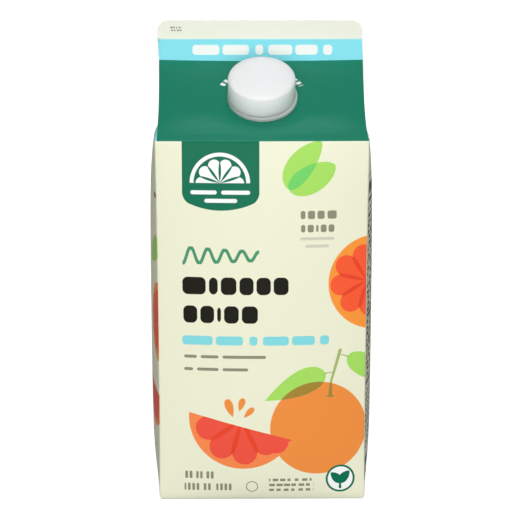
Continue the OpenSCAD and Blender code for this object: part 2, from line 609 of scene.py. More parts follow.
class Wires:
    """Adds nodes to one tree. A number, a vector or a socket may feed any input."""

    def __init__(self, tree):
        self.tree = tree

    def feed(self, socket, value):
        if isinstance(value, bpy.types.NodeSocket):
            self.tree.links.new(value, socket)
        elif value is not None:
            socket.default_value = value

    def add(self, kind, *values, **settings):
        node = self.tree.nodes.new(kind)
        for name, value in settings.items():
            setattr(node, name, value)
        for socket, value in zip(node.inputs, values):
            self.feed(socket, value)
        return node

    def math(self, operation, *values, clamp=False):
        return self.add("ShaderNodeMath", *values, operation=operation, use_clamp=clamp).outputs[0]

    def vector(self, operation, *values):
        node = self.add("ShaderNodeVectorMath", *values, operation=operation)
        return node.outputs["Value" if operation in ("LENGTH", "DISTANCE", "DOT_PRODUCT") else "Vector"]

    def inside(self, distance):
        """1 where the distance in millimetres is under 0, with a fine soft edge."""
        return self.math("MULTIPLY_ADD", distance, -1 / INK_EDGE, 0.5, clamp=True)

    def most(self, masks):
        found = masks[0]
        for mask in masks[1:]:
            found = self.math("MAXIMUM", found, mask)
        return found

    def both(self, *masks):
        found = masks[0]
        for mask in masks[1:]:
            found = self.math("MULTIPLY", found, mask)
        return found

    def parts(self, point):
        return self.add("ShaderNodeSeparateXYZ", point).outputs

    def join(self, x, y):
        return self.add("ShaderNodeCombineXYZ", x, y, 0.0).outputs[0]

    def paint(self, under, mask, ink):
        node = self.add("ShaderNodeMix", data_type="RGBA")
        self.feed(node.inputs["Factor"], mask)
        self.feed(node.inputs["A"], under if isinstance(under, bpy.types.NodeSocket) else (*under, 1))
        self.feed(node.inputs["B"], ink if isinstance(ink, bpy.types.NodeSocket) else (*ink, 1))
        return node.outputs["Result"]

    def shape(self, name, point, **values):
        """Places a shape's group on the point, and returns its mask."""
        node = self.tree.nodes.new("ShaderNodeGroup")
        node.node_tree = bpy.data.node_groups[name]
        self.feed(node.inputs["Point"], point)
        for key, value in values.items():
            title = key.replace("_", " ").capitalize()
            if isinstance(value, tuple) and len(value) == 2:
                value = (*value, 0.0)
            self.feed(node.inputs[title], value)
        return node.outputs[0]


SOCKETS = {"point": "NodeSocketVector", "value": "NodeSocketFloat", "colour": "NodeSocketColor"}


def new_group(name, inputs, outputs):
    """An empty node group with named sockets, its wires and its input sockets by name."""
    tree = bpy.data.node_groups.new(name, "ShaderNodeTree")
    for title, kind in inputs.items():
        tree.interface.new_socket(title, in_out="INPUT", socket_type=SOCKETS[kind])
    for title, kind in outputs.items():
        tree.interface.new_socket(title, in_out="OUTPUT", socket_type=SOCKETS[kind])
    wires = Wires(tree)
    entry = wires.add("NodeGroupInput")
    return wires, {s.name: s for s in entry.outputs if s.name}


def close_group(wires, *results):
    wires.add("NodeGroupOutput", *results)


def disc_shape():
    w, i = new_group("Disc", {"Point": "point", "Centre": "point", "Radius": "value"}, {"Mask": "value"})
    away = w.vector("DISTANCE", i["Point"], i["Centre"])
    close_group(w, w.inside(w.math("SUBTRACT", away, i["Radius"])))


def bar_shape():
    """A bar with round corners, from its middle and its half sizes."""
    w, i = new_group(
        "Bar", {"Point": "point", "Centre": "point", "Half": "point", "Corner": "value"},
        {"Mask": "value"},
    )
    off = w.vector("ABSOLUTE", w.vector("SUBTRACT", i["Point"], i["Centre"]))
    corner = w.join(i["Corner"], i["Corner"])
    past = w.vector("SUBTRACT", off, w.vector("SUBTRACT", i["Half"], corner))
    past = w.vector("MAXIMUM", past, (0, 0, 0))
    close_group(w, w.inside(w.math("SUBTRACT", w.vector("LENGTH", past), i["Corner"])))


def leaf_shape():
    """A leaf or drop that is pointed at its tip and rounder at its foot."""
    w, i = new_group(
        "Leaf",
        {"Point": "point", "Tip": "point", "Foot": "point", "Left": "value", "Right": "value",
         "Belly": "value"},
        {"Mask": "value"},
    )
    axis = w.vector("SUBTRACT", i["Foot"], i["Tip"])
    rel = w.vector("SUBTRACT", i["Point"], i["Tip"])
    long = w.vector("LENGTH", axis)
    along = w.math("DIVIDE", w.vector("DOT_PRODUCT", rel, axis), w.math("MULTIPLY", long, long))
    x, y = w.parts(axis)[0:2]
    left = w.join(w.math("MULTIPLY", y, -1.0), x)
    side = w.math("DIVIDE", w.vector("DOT_PRODUCT", rel, left), long)
    t = w.math("MINIMUM", w.math("MAXIMUM", along, 0.0001), 0.9999)
    rest = w.math("SUBTRACT", 1.0, i["Belly"])
    power = w.math("DIVIDE", w.math("MULTIPLY", i["Belly"], 0.5), rest)
    front = w.math("POWER", w.math("DIVIDE", t, i["Belly"]), power)
    back = w.math("SQRT", w.math("DIVIDE", w.math("SUBTRACT", 1.0, t), rest))
    on_left = w.math("GREATER_THAN", side, 0.0)
    width = w.math("ADD", w.math("MULTIPLY", on_left, i["Left"]),
                   w.math("MULTIPLY", w.math("SUBTRACT", 1.0, on_left), i["Right"]))
    reach = w.math("MULTIPLY", w.math("MULTIPLY", front, back), width)
    mask = w.inside(w.math("SUBTRACT", w.math("ABSOLUTE", side), reach))
    close_group(w, w.both(mask, w.math("COMPARE", along, 0.5, 0.4999)))


def stalk_shape():
    """A line from one point to another that may taper."""
    w, i = new_group(
        "Stalk",
        {"Point": "point", "From": "point", "To": "point", "Start": "value", "End": "value"},
        {"Mask": "value"},
    )
    axis = w.vector("SUBTRACT", i["To"], i["From"])
    rel = w.vector("SUBTRACT", i["Point"], i["From"])
    along = w.math(
        "DIVIDE", w.vector("DOT_PRODUCT", rel, axis), w.vector("DOT_PRODUCT", axis, axis), clamp=True
    )
    scaled = w.add("ShaderNodeVectorMath", axis, operation="SCALE")
    w.feed(scaled.inputs["Scale"], along)
    away = w.vector("DISTANCE", rel, scaled.outputs[0])
    width = w.math("MULTIPLY_ADD", w.math("SUBTRACT", i["End"], i["Start"]), along, i["Start"])
    close_group(w, w.inside(w.math("SUBTRACT", away, width)))


def segments_shape():
    """The scalloped flesh of a cut fruit, and the seams between its segments."""
    w, i = new_group(
        "Segments",
        {"Point": "point", "Centre": "point", "Reach": "value", "Count": "value", "Turn": "value"},
        {"Mask": "value", "Seams": "value"},
    )
    rel = w.vector("SUBTRACT", i["Point"], i["Centre"])
    x, y = w.parts(rel)[0:2]
    away = w.vector("LENGTH", rel)
    half_cell = w.math("DIVIDE", math.pi, i["Count"])
    angle = w.math("ADD", w.math("ARCTAN2", y, x), w.math("RADIANS", i["Turn"]))
    off = w.math("PINGPONG", w.math("ADD", angle, 8 * math.pi), half_cell)
    sine = w.math("SINE", half_cell)
    lobe = w.math("DIVIDE", w.math("MULTIPLY", i["Reach"], sine), w.math("ADD", sine, 1.0))
    spoke = w.math("SUBTRACT", i["Reach"], lobe)
    local = w.join(w.math("MULTIPLY", away, w.math("COSINE", off)),
                   w.math("MULTIPLY", away, w.math("SINE", off)))
    from_lobe = w.math("SUBTRACT", w.vector("DISTANCE", local, w.join(spoke, 0.0)),
                       w.math("MULTIPLY", lobe, 1.06))
    from_core = w.math("SUBTRACT", away, w.math("MULTIPLY", spoke, 1.02))
    flesh = w.inside(w.math("MINIMUM", from_lobe, from_core))
    # A seam is widest part of the way out and thins to nothing at both ends
    to_seam = w.math("MULTIPLY", away, w.math("SUBTRACT", half_cell, off))
    out = w.math("DIVIDE", away, i["Reach"], clamp=True)
    thick = w.math("MULTIPLY", w.math("SINE", w.math("MULTIPLY", out, math.pi)),
                   w.math("MULTIPLY", i["Reach"], 0.055))
    seams = w.inside(w.math("SUBTRACT", to_seam, thick))
    close_group(w, flesh, w.both(seams, flesh))


def words_shape():
    """Rows of short bars, set like small print."""
    w, i = new_group(
        "Words",
        {"Point": "point", "Corner": "point", "Size": "point", "Pitch": "value", "Height": "value",
         "Word": "value", "Seed": "value"},
        {"Mask": "value"},
    )
    x, y = w.parts(w.vector("SUBTRACT", i["Point"], i["Corner"]))[0:2]
    wide, high = w.parts(i["Size"])[0:2]
    row = w.math("FLOOR", w.math("DIVIDE", y, i["Pitch"]))
    start = w.add("ShaderNodeTexWhiteNoise", noise_dimensions="2D")
    w.feed(start.inputs["Vector"], w.join(row, i["Seed"]))
    jitter = start.outputs["Value"]
    place = w.math("ADD", w.math("DIVIDE", x, i["Word"]), w.math("MULTIPLY", jitter, 7.0))
    cell = w.math("FLOOR", place)
    each = w.add("ShaderNodeTexWhiteNoise", noise_dimensions="3D")
    w.feed(each.inputs["Vector"], w.add("ShaderNodeCombineXYZ", cell, row, i["Seed"]).outputs[0])
    share = w.math("MULTIPLY_ADD", each.outputs["Value"], 0.45, 0.42)
    in_word = w.math("MULTIPLY", w.math("SUBTRACT", w.math("FRACT", place), share), i["Word"])
    in_row = w.math("SUBTRACT", w.math("FLOORED_MODULO", y, i["Pitch"]), i["Height"])
    last = w.math("SUBTRACT", wide, w.math("MULTIPLY", jitter, w.math("MULTIPLY", wide, 0.12)))
    close_group(w, w.both(
        w.inside(in_word), w.inside(in_row), w.inside(w.math("SUBTRACT", x, last)),
        w.inside(w.math("MULTIPLY", x, -1.0)), w.inside(w.math("SUBTRACT", y, high)),
        w.inside(w.math("MULTIPLY", y, -1.0)),
    ))


def wave_shape():
    """A level line that waves up and down."""
    w, i = new_group(
        "Wave",
        {"Point": "point", "Centre": "point", "Half length": "value", "Swing": "value",
         "Waves": "value", "Thick": "value"},
        {"Mask": "value"},
    )
    x, y = w.parts(w.vector("SUBTRACT", i["Point"], i["Centre"]))[0:2]
    rate = w.math("DIVIDE", w.math("MULTIPLY", i["Waves"], math.pi), i["Half length"])
    phase = w.math("MULTIPLY", x, rate)
    # The swing is largest at the left, as in handwriting that starts with a tall stroke
    fade = w.math("SUBTRACT", 1.0, w.math("MULTIPLY", w.math("DIVIDE", x, i["Half length"]), 0.3))
    swing = w.math("MULTIPLY", i["Swing"], fade)
    off = w.math("SUBTRACT", y, w.math("MULTIPLY", w.math("SINE", phase), swing))
    steep = w.math("MULTIPLY", w.math("MULTIPLY", w.math("COSINE", phase), swing), rate)
    spread = w.math("SQRT", w.math("MULTIPLY_ADD", steep, steep, 1.0))
    away = w.math("DIVIDE", w.math("ABSOLUTE", off), spread)
    line = w.inside(w.math("SUBTRACT", away, w.math("MULTIPLY", i["Thick"], 0.5)))
    length_mask = w.inside(w.math("SUBTRACT", w.math("ABSOLUTE", x), i["Half length"]))
    close_group(w, w.both(line, length_mask))


def side_of_line(w, point, start, end):
    """1 on the right of the line from start to end, and 0 on its left."""
    run, rise = end[0] - start[0], end[1] - start[1]
    size = math.hypot(run, rise)
    rel = w.vector("SUBTRACT", point, (*start, 0))
    return w.inside(w.vector("DOT_PRODUCT", rel, (-rise / size, run / size, 0)))


def bars(w, point, low, high, spans, corner=None):
    """One mask for bars between two heights that cover each (left, right) span."""
    half = (high - low) / 2
    return w.most([
        w.shape("Bar", point, centre=((a + b) / 2, low + half), half=((b - a) / 2, half),
                corner=min(half, (b - a) / 2) if corner is None else corner)
        for a, b in spans
    ])


def slice_art(w, point, colour, centre, radius, flesh_centre, reach, count, turn, inks, keep=None):
    """A round slice, or the part of one that keep allows, in the inks for rind, flesh and seams."""
    rind, flesh, seam = inks
    disc = w.shape("Disc", point, centre=centre, radius=radius)
    if keep is not None:
        disc = w.both(disc, keep)
    colour = w.paint(colour, disc, rind)
    pulp = w.tree.nodes.new("ShaderNodeGroup")
    pulp.node_tree = bpy.data.node_groups["Segments"]
    for title, value in (("Point", point), ("Centre", (*flesh_centre, 0)), ("Reach", reach),
                         ("Count", count), ("Turn", turn)):
        w.feed(pulp.inputs[title], value)
    colour = w.paint(colour, w.both(pulp.outputs["Mask"], disc), flesh)
    return w.paint(colour, w.both(pulp.outputs["Seams"], disc), seam), disc


def front_art(ink):
    """The front and back walls: tab, sprig, bars, slice, wedge and whole fruit."""
    w, i = new_group("Front art", {"Point": "point"}, {"Color": "colour"})
    p = i["Point"]
    colour = w.paint(ink.cream, 0.0, ink.cream)

    # A paler line is painted along the crease, as a painted highlight on the fold
    colour = w.paint(colour, bars(w, p, 167.2, 168.6, [(-60.0, 60.0)], 0.0), ink.crease_highlight)

    # The tab that hangs from the roof, with half a fruit wheel on it
    past_side = w.math("SUBTRACT", w.math("ABSOLUTE", w.math("ADD", w.parts(p)[0], 18.45)), 14.2)
    past_foot = w.math("SUBTRACT", w.vector("DISTANCE", p, (-18.45, 172.0, 0)), 31.9)
    past = w.vector("MAXIMUM", w.join(past_side, past_foot), (0, 0, 0))
    tab = w.both(w.inside(w.math("SUBTRACT", w.vector("LENGTH", past), 3.0)),
                 w.math("GREATER_THAN", w.parts(p)[1], 130.0))
    colour = w.paint(colour, tab, ink.deep)
    above = w.inside(w.math("SUBTRACT", 149.4, w.parts(p)[1]))
    wheel = w.shape("Disc", p, centre=(-18.8, 149.4), radius=13.4)
    pith = w.shape("Disc", p, centre=(-18.8, 149.4), radius=11.7)
    rays = w.tree.nodes.new("ShaderNodeGroup")
    rays.node_tree = bpy.data.node_groups["Segments"]
    for title, value in (("Point", p), ("Centre", (-18.8, 149.4, 0)), ("Reach", 10.6),
                         ("Count", 10.0), ("Turn", 0.0)):
        w.feed(rays.inputs[title], value)
    colour = w.paint(colour, w.both(wheel, above), ink.white)
    colour = w.paint(colour, w.both(pith, above), ink.deep)
    colour = w.paint(colour, w.both(rays.outputs["Mask"], above), ink.white)
    colour = w.paint(colour, w.both(rays.outputs["Seams"], above), ink.deep)
    marks = w.most([
        bars(w, p, 144.3, 146.1, [(-31.9, -20.2), (-18.2, -5.4)]),
        bars(w, p, 140.6, 142.4, [(-25.7, -11.1)]),
    ])
    colour = w.paint(colour, marks, ink.white)

    # A sprig of two leaves
    tall = w.shape("Leaf", p, tip=(26.4, 167.4), foot=(11.6, 146.6), left=4.2, right=7.6, belly=0.58)
    low = w.shape("Leaf", p, tip=(32.4, 157.2), foot=(11.8, 146.4), left=6.8, right=5.6, belly=0.55)
    colour = w.paint(colour, w.math("MAXIMUM", tall, low), ink.leaf)
    colour = w.paint(colour, w.both(tall, low), ink.leaf_cross)

    # Bars in place of words, each as heavy as what it stands for
    colour = w.paint(colour, w.most([
        bars(w, p, 133.2, 136.9, [(17.1, 19.2), (20.3, 23.5), (24.6, 27.8), (29.1, 33.2)], 0.9),
        bars(w, p, 127.2, 130.6, [(17.3, 19.2), (20.2, 23.0), (24.0, 25.1), (26.1, 28.7), (29.6, 32.2)], 0.9),
        bars(w, p, 69.2, 70.6, [(-35.4, -29.7), (-27.9, -19.8), (-18.0, 1.7)]),
        bars(w, p, 63.3, 64.7, [(-35.5, -31.4), (-29.6, -19.8), (-18.0, -6.4)]),
        bars(w, p, 11.4, 15.0, [(-35.5, -34.2), (-33.5, -32.2), (-30.4, -29.3), (-28.6, -27.5),
                                (-25.7, -24.4), (-23.7, -22.4)], 0.5),
        bars(w, p, 5.4, 9.0, [(-35.9, -35.1), (-34.3, -33.1), (-32.3, -31.1), (-30.3, -29.1),
                              (-27.0, -25.8), (-25.0, -23.8), (-21.2, -20.2), (-19.4, -18.2),
                              (-17.4, -16.2), (-15.4, -14.2)], 0.5),
    ]), ink.grey)
    colour = w.paint(colour, w.math("MAXIMUM", bars(w, p, 123.6, 125.0, [(16.9, 32.2)]),
                                    bars(w, p, 120.2, 121.6, [(19.2, 29.9)])), ink.pale)
    colour = w.paint(colour, w.shape("Wave", p, centre=(-18.6, 116.6), half_length=17.2, swing=2.7,
                                     waves=4.5, thick=1.5), ink.script)
    colour = w.paint(colour, w.most([
        bars(w, p, 98.8, 106.8, [(-35.9, -25.4), (-23.9, -20.0), (-18.6, -11.6), (-10.2, -3.9),
                                 (-2.6, 3.8), (5.1, 11.8)], 2.4),
        bars(w, p, 85.6, 93.6, [(-35.6, -29.3), (-27.9, -21.7), (-20.3, -18.6), (-17.2, -10.6),
                                (-9.2, -2.0)], 2.4),
    ]), ink.dark)
    colour = w.paint(colour, bars(w, p, 75.4, 79.6, [(-36.2, -22.4), (-21.0, -8.7), (-5.8, -2.2),
                                                     (0.3, 12.0), (13.4, 23.8), (26.1, 30.3)], 1.4),
                     ink.aqua)
    colour = w.paint(colour, w.shape("Words", p, corner=(3.1, 5.0), size=(21.8, 7.2), pitch=2.6,
                                     height=1.3, word=3.4, seed=3.0), ink.grey)

    # The slice that runs off the right edge
    slice_inks = (ink.rind, ink.flesh, ink.seam)
    colour, _ = slice_art(w, p, colour, (51.6, 103.6), 21.8, (47.2, 104.4), 16.4, 8.0, 37.0, slice_inks)

    # The whole fruit with its stem and leaves
    fruit = w.shape("Disc", p, centre=(25.7, 35.8), radius=22.1)
    colour = w.paint(colour, fruit, ink.orange)
    blade = w.shape("Leaf", p, tip=(1.0, 49.3), foot=(28.6, 61.9), left=6.4, right=5.4, belly=0.68)
    edge_leaf = w.shape("Leaf", p, tip=(60.0, 57.0), foot=(39.0, 69.6), left=5.4, right=5.2, belly=0.62)
    twigs = w.most([
        w.shape("Stalk", p, **{"from": (35.4, 72.4)}, to=(31.4, 58.0), start=0.75, end=0.5),
        w.shape("Stalk", p, **{"from": (31.4, 58.0)}, to=(31.0, 51.2), start=0.5, end=0.9),
        w.shape("Stalk", p, **{"from": (29.6, 50.9)}, to=(32.5, 50.9), start=0.35, end=0.35),
        w.shape("Stalk", p, **{"from": (28.4, 61.8)}, to=(32.3, 62.2), start=0.3, end=0.2),
        w.shape("Stalk", p, **{"from": (35.8, 70.4)}, to=(39.2, 69.2), start=0.2, end=0.3),
    ])
    colour = w.paint(colour, w.math("MAXIMUM", blade, edge_leaf), ink.leaf)
    colour = w.paint(colour, twigs, ink.twig)
    colour = w.paint(colour, w.both(w.math("MAXIMUM", blade, twigs), fruit), ink.leaf_over)

    # The wedge in front of it, with three drops
    below = side_of_line(w, p, (-32.8, 43.3), (12.8, 30.8))
    colour, wedge = slice_art(w, p, colour, (-8.8, 41.3), 24.7, (-9.4, 40.2), 21.2, 9.0, 5.0,
                              (ink.peel, ink.wedge, ink.seam), below)
    end = w.math("MAXIMUM", w.shape("Disc", p, centre=(6.7, 29.4), radius=5.3),
                 w.shape("Leaf", p, tip=(13.4, 30.4), foot=(-4.0, 35.3), left=4.0, right=4.0, belly=0.6))
    colour = w.paint(colour, w.both(end, below, wedge), ink.wedge)
    colour = w.paint(colour, w.most([
        w.shape("Leaf", p, tip=(-13.4, 41.6), foot=(-16.2, 50.0), left=1.9, right=1.9, belly=0.66),
        w.shape("Leaf", p, tip=(-10.5, 44.4), foot=(-8.6, 50.6), left=1.5, right=1.5, belly=0.66),
        w.shape("Leaf", p, tip=(-8.4, 41.3), foot=(-3.9, 46.0), left=1.35, right=1.35, belly=0.66),
    ]), ink.orange)

    # A ring mark, and a round badge with a sprout
    ring = w.both(w.shape("Disc", p, centre=(-4.7, 7.5), radius=2.8),
                  w.math("SUBTRACT", 1.0, w.shape("Disc", p, centre=(-4.7, 7.5), radius=2.35)))
    colour = w.paint(colour, ring, ink.grey)
    colour = w.paint(colour, w.shape("Disc", p, centre=(36.1, 10.9), radius=6.75), ink.deep)
    colour = w.paint(colour, w.shape("Disc", p, centre=(36.1, 10.9), radius=5.8), ink.white)
    sprout = w.most([
        w.shape("Leaf", p, tip=(31.7, 13.9), foot=(36.1, 8.8), left=2.3, right=1.7, belly=0.6),
        w.shape("Leaf", p, tip=(40.3, 14.5), foot=(36.1, 8.8), left=1.8, right=2.4, belly=0.6),
        w.shape("Stalk", p, **{"from": (36.1, 9.8)}, to=(36.1, 6.4), start=0.45, end=0.6),
    ])
    colour = w.paint(colour, sprout, ink.deep)
    close_group(w, colour)


def left_art(ink):
    """The left wall: fruit running off its front edge, and small print."""
    w, i = new_group("Left art", {"Point": "point"}, {"Color": "colour"})
    p = i["Point"]
    colour = w.paint(ink.cream, 0.0, ink.cream)
    colour = w.paint(colour, w.shape("Bar", p, centre=(-6.0, 150.0), half=(30.0, 5.0), corner=2.0), ink.deep)
    colour = w.paint(colour, bars(w, p, 148.8, 151.2, [(-31.0, -15.0), (-13.0, 4.0), (6.0, 18.0)]), ink.white)
    colour = w.paint(colour, bars(w, p, 142.0, 144.4, [(41.0, 47.0)], 0.6), ink.brown)
    colour = w.paint(colour, w.math(
        "MAXIMUM",
        w.shape("Words", p, corner=(-36.0, 92.0), size=(58.0, 46.0), pitch=4.6, height=1.9,
                word=9.0, seed=5.0),
        w.shape("Words", p, corner=(-36.0, 12.0), size=(70.0, 20.0), pitch=3.2, height=1.4,
                word=6.0, seed=8.0),
    ), ink.grey)
    colour = w.paint(colour, w.shape("Leaf", p, tip=(28.0, 112.0), foot=(50.0, 121.0), left=6.5, right=5.0,
                                     belly=0.62), ink.leaf)
    colour, _ = slice_art(w, p, colour, (48.5, 85.0), 18.5, (46.5, 85.0), 15.0, 10.0, 10.0,
                          (ink.rind, ink.flesh, ink.seam))
    below = side_of_line(w, p, (14.0, 55.0), (52.0, 50.0))
    colour, _ = slice_art(w, p, colour, (36.0, 54.0), 20.5, (35.0, 52.0), 16.5, 9.0, 20.0,
                          (ink.peel, ink.wedge, ink.seam), below)
    fruit = w.shape("Disc", p, centre=(-14.0, 62.0), radius=17.0)
    colour = w.paint(colour, fruit, ink.orange)
    blade = w.shape("Leaf", p, tip=(-36.0, 68.0), foot=(-13.0, 80.0), left=5.6, right=4.0, belly=0.66)
    colour = w.paint(colour, blade, ink.leaf)
    colour = w.paint(colour, w.both(blade, fruit), ink.leaf_over)
    close_group(w, colour)


def right_art(ink):
    """The right wall: a ruled table of small bars, and small print."""
    w, i = new_group("Right art", {"Point": "point"}, {"Color": "colour"})
    p = i["Point"]
    colour = w.paint(ink.cream, 0.0, ink.cream)
    rules = [w.math("SUBTRACT",
                    w.shape("Bar", p, centre=(-17.6, 88.0), half=(28.9, 64.0), corner=0.4),
                    w.shape("Bar", p, centre=(-17.6, 88.0), half=(28.3, 63.4), corner=0.2))]
    rules.append(bars(w, p, 143.4, 148.4, [(-44.6, -14.0)], 1.2))
    rules += [bars(w, p, level, level + thick, [(-45.4, 10.2)], 0.1)
              for level, thick in ((139.6, 1.8), (130.2, 0.9), (86.4, 1.6), (54.4, 1.6))]
    rules += [bars(w, p, 57.0 + 5.6 * row, 57.3 + 5.6 * row, [(-45.4, 10.2)], 0.1) for row in range(13)]
    rules.append(w.shape("Words", p, corner=(-45.4, 132.6), size=(22.0, 6.0), pitch=3.2, height=1.7,
                         word=9.0, seed=1.0))
    rules.append(w.shape("Words", p, corner=(-45.4, 58.0), size=(42.0, 71.5), pitch=2.8, height=1.55,
                         word=12.0, seed=2.0))
    rules.append(w.shape("Words", p, corner=(2.0, 58.0), size=(8.6, 71.5), pitch=5.6, height=2.0,
                         word=9.0, seed=6.0))
    rules.append(w.shape("Words", p, corner=(-45.4, 26.0), size=(55.6, 26.5), pitch=2.6, height=1.35,
                         word=6.0, seed=9.0))
    colour = w.paint(colour, w.most(rules), ink.dark)
    colour = w.paint(colour, w.shape("Words", p, corner=(17.0, 40.0), size=(24.0, 110.0), pitch=3.6,
                                     height=1.6, word=6.0, seed=4.0), ink.grey)
    colour = w.paint(colour, w.shape("Bar", p, centre=(-17.6, 14.0), half=(28.9, 6.0), corner=2.0), ink.deep)
    colour = w.paint(colour, bars(w, p, 12.6, 15.4, [(-42.0, -26.0), (-24.0, 2.0)]), ink.white)
    colour, _ = slice_art(w, p, colour, (30.0, 20.0), 11.0, (30.0, 20.0), 9.2, 10.0, 0.0,
                          (ink.rind, ink.flesh, ink.seam))
    close_group(w, colour)


def roof_art(ink):
    """The roof panels: green, with a curved row of small white dashes over the cap."""
    w, i = new_group("Roof art", {"Point": "point", "Centre": "point"}, {"Color": "colour"})
    across, up = w.parts(i["Point"])[0:2]
    x, y = w.parts(w.vector("SUBTRACT", i["Point"], i["Centre"]))[0:2]
    away = w.vector("DISTANCE", i["Point"], i["Centre"])
    angle = w.math("ARCTAN2", x, y)
    ring = w.inside(w.math("SUBTRACT", w.math("ABSOLUTE", w.math("SUBTRACT", away, 20.4)), 1.2))
    dash = w.math("LESS_THAN", w.math("FRACT", w.math("MULTIPLY", angle, 7.4)), 0.62)
    arc = w.math("LESS_THAN", w.math("ABSOLUTE", angle), 1.1)
    colour = w.paint(ink.green, w.both(ring, dash, arc), ink.white)
    # The print sits a little to the right, so the gable end's ink shows at the left fold
    strip = w.both(w.inside(w.math("ADD", across, 46.7)), w.math("LESS_THAN", up, 24.0))
    colour = w.paint(colour, strip, ink.cyan)
    close_group(w, colour)


def fin_art(ink):
    """The fin: a pale blue band with white bars under a cream strip with a printed code."""
    w, i = new_group("Fin art", {"Point": "point"}, {"Color": "colour"})
    p = i["Point"]
    colour = w.paint(ink.cyan, w.math("GREATER_THAN", w.parts(p)[1], 209.6), ink.fin_cream)
    # A thin white line is painted just under the step: the board's pale cut edge, with a painted highlight on
    # it
    colour = w.paint(colour, bars(w, p, 209.15, 209.6, [(-60.0, 60.0)], 0.0), ink.white)
    colour = w.paint(colour, bars(w, p, 202.0, 206.6, [(-32.0, -19.4), (-18.0, -5.6), (-2.6, 1.0),
                                                       (3.4, 14.6), (16.0, 26.4), (29.0, 33.2)], 1.5),
                     ink.white)
    colour = w.paint(colour, w.shape("Words", p, corner=(-42.2, 212.9), size=(5.9, 2.6), pitch=1.3,
                                     height=0.75, word=1.3, seed=11.0), ink.grey)
    close_group(w, colour)


def board_surface():
    """The board's broad unevenness and fine fibre as heights, and its satin as roughness."""
    w, i = new_group("Board surface", {"Point": "point"}, {"Height": "value", "Roughness": "value"})
    broad = w.add("ShaderNodeTexNoise")
    w.feed(broad.inputs["Vector"], i["Point"])
    broad.inputs["Scale"].default_value = 0.035
    broad.inputs["Detail"].default_value = 1.5
    fibre = w.add("ShaderNodeTexNoise")
    w.feed(fibre.inputs["Vector"], i["Point"])
    fibre.inputs["Scale"].default_value = 1.6
    fibre.inputs["Detail"].default_value = 3.0
    height = w.math("MULTIPLY_ADD", fibre.outputs["Fac"], 0.012, broad.outputs["Fac"])
    rough = w.math("MULTIPLY_ADD", fibre.outputs["Fac"], 0.12, 0.33)
    close_group(w, height, rough)


def plastic_surface():
    """Fine moulding texture and faint scuffs."""
    w, i = new_group("Plastic surface", {"Point": "point"}, {"Height": "value", "Roughness": "value"})
    grain = w.add("ShaderNodeTexNoise")
    w.feed(grain.inputs["Vector"], i["Point"])
    grain.inputs["Scale"].default_value = 2.4
    grain.inputs["Detail"].default_value = 4.0
    cloud = w.add("ShaderNodeTexNoise")
    w.feed(cloud.inputs["Vector"], i["Point"])
    cloud.inputs["Scale"].default_value = 0.12
    rough = w.math("MULTIPLY_ADD", cloud.outputs["Fac"], 0.2, 0.3)
    close_group(w, grain.outputs["Fac"], rough)


def new_material(name):
    """An empty material, its wires, its Principled node and its Object point in millimetres."""
    material = bpy.data.materials.new(name)
    material.use_nodes = True
    w = Wires(material.node_tree)
    shader = material.node_tree.nodes["Principled BSDF"]
    place = w.add("ShaderNodeTexCoord").outputs["Object"]
    scaled = w.add("ShaderNodeVectorMath", place, operation="SCALE")
    scaled.inputs["Scale"].default_value = 1 / MM
    return w, shader, scaled.outputs[0]


def apply_surface(w, shader, point, group, strength, distance):
    node = w.tree.nodes.new("ShaderNodeGroup")
    node.node_tree = bpy.data.node_groups[group]
    w.feed(node.inputs["Point"], point)
    bump = w.add("ShaderNodeBump")
    bump.inputs["Strength"].default_value = strength
    bump.inputs["Distance"].default_value = distance
    w.feed(bump.inputs["Height"], node.outputs["Height"])
    w.feed(shader.inputs["Normal"], bump.outputs[0])
    w.feed(shader.inputs["Roughness"], node.outputs["Roughness"])


def printed_material(name, art, across, gloss=0.1):
    """Coated board that takes its colour from an art group, with the panel's own axes."""
    w, shader, point = new_material(name)
    x, y, z = w.parts(point)
    # The front reads left to right along X, and the back against it
    around = {
        "front": w.math("MULTIPLY", x, w.math("MULTIPLY", w.math("SIGN", y), -1.0)),
        "left": w.math("MULTIPLY", y, -1.0),
        "right": y,
    }[across]
    drawing = w.tree.nodes.new("ShaderNodeGroup")
    drawing.node_tree = bpy.data.node_groups[art]
    w.feed(drawing.inputs["Point"], w.join(around, z))
    w.feed(shader.inputs["Base Color"], drawing.outputs["Color"])
    shader.inputs["Specular IOR Level"].default_value = gloss
    apply_surface(w, shader, point, "Board surface", 0.35, 0.6 * MM)
    return w, shader, drawing, (x, y, z)


def plain_material(name, ink, group, strength, distance):
    w, shader, point = new_material(name)
    shader.inputs["Base Color"].default_value = (*ink, 1)
    apply_surface(w, shader, point, group, strength, distance)
    return w, shader, point


def layered_material(name, ink, sizes):
    """Raw board, with the line between each two layers a little darker."""
    w, shader, point = new_material(name)
    y = w.parts(point)[1]
    layer = sizes.layer / MM
    line = w.math("PINGPONG", y, layer / 2)
    gap = w.math("LESS_THAN", line, layer / 12)
    fleck = w.add("ShaderNodeTexNoise")
    w.feed(fleck.inputs["Vector"], point)
    fleck.inputs["Scale"].default_value = 0.9
    shade = w.math("MULTIPLY_ADD", fleck.outputs["Fac"], 0.3, w.math("MULTIPLY", gap, 0.25))
    darker = tuple(c * 0.6 for c in ink.raw)
    w.feed(shader.inputs["Base Color"], w.paint(ink.raw, shade, darker))
    apply_surface(w, shader, point, "Board surface", 0.5, 0.6 * MM)


